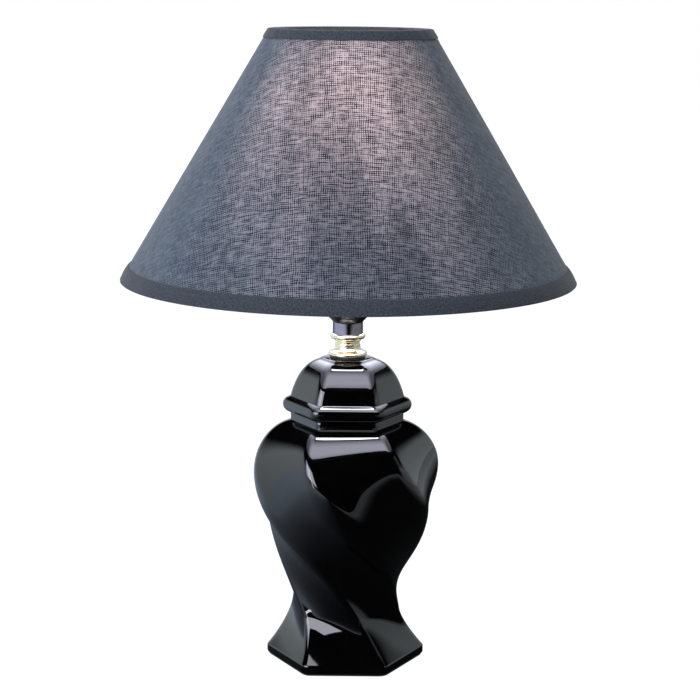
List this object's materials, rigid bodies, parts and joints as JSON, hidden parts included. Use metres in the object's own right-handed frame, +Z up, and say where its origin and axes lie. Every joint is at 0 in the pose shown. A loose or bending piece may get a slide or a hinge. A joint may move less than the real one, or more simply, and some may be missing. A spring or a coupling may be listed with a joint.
{
  "type": "table lamp",
  "caption": "Small table lamp: twisted six-sided black ceramic urn with a stepped lid, brass neck and a dark cloth cone shade clipped on its bulb.",
  "frame": {"origin": "on the table under the lamp's axis, at the centre of the pad's underside", "axes": "+Z up along the pipe, -Y to the front, which is the side a flat of the urn's foot faces; +X to the right seen from the front"},
  "size_m": [0.2357, 0.2358, 0.3317],
  "materials": {
    "felt": "black pressed felt",
    "glaze": "gloss black glaze over cast earthenware",
    "gasket_rubber": "black rubber",
    "polished_brass": "turned and polished, lacquered",
    "zinc_steel": "zinc plated steel",
    "black_plastic": "moulded black plastic",
    "black_enamel": "gloss black baked enamel on drawn metal",
    "fibre_card": "insulating fibre sleeve",
    "phenolic": "moulded phenolic",
    "brass_sheet": "rolled brass",
    "solder": "solder pip",
    "bulb_vitrite": "black glass insulator",
    "bulb_aluminium": "rolled aluminium thread",
    "frosted_glass": "white frosted glass",
    "clear_glass": "clear glass",
    "tungsten": "wire",
    "brassed_wire": "brass plated steel wire",
    "styrene_sheet": "translucent white styrene",
    "shade_cloth": "plain woven dark cloth, laminated",
    "binding_cloth": "folded woven binding"
  },
  "bodies": {
    "base": {"base_felt": "felt", "urn_body": "glaze", "urn_lid": "glaze", "neck_gasket": "gasket_rubber", "brass_neck": "polished_brass", "lamp_rod": "zinc_steel", "base_washer": "zinc_steel", "lock_washer": "zinc_steel", "base_nut": "zinc_steel", "cord_bushing": "black_plastic", "socket_cap": "black_enamel", "cap_set_screw": "zinc_steel", "socket_shell": "black_enamel", "socket_liner": "fibre_card", "socket_core": "phenolic", "screw_shell": "brass_sheet", "centre_contact": "brass_sheet", "terminal_screws": "brass_sheet"},
    "switch": {"switch_stem": "brass_sheet", "switch_knob": "black_plastic"},
    "bulb": {"bulb_contact": "solder", "bulb_insulator": "bulb_vitrite", "bulb_cap": "bulb_aluminium", "bulb_glass": "frosted_glass", "bulb_mount": "clear_glass", "bulb_filament": "tungsten"},
    "clip": {"bulb_clip": "brassed_wire", "clip_rivet": "brassed_wire"},
    "shade": {"shade_arms": "brassed_wire", "ring_top": "brassed_wire", "ring_bottom": "brassed_wire", "shade_liner": "styrene_sheet", "shade_cover": "shade_cloth", "shade_trim_top": "binding_cloth", "shade_trim_bottom": "binding_cloth"}
  },
  "joints": [
    {"name": "switch_turn", "type": "hinge", "parent": "base", "child": "switch", "pos_m": [0, 0, 0.20344], "axis": [1, 0, 0], "continuous": true},
    {"name": "bulb_lift", "type": "slide", "parent": "base", "child": "bulb", "axis": [0, 0, 1], "range_m": [0, 0.04]},
    {"name": "clip_lift", "type": "slide", "parent": "bulb", "child": "clip", "axis": [0, 0, 1], "range_m": [0, 0.06]},
    {"name": "shade_turn", "type": "hinge", "parent": "clip", "child": "shade", "pos_m": [0, 0, 0.3216], "axis": [0, 0, 1], "continuous": true}
  ]
}
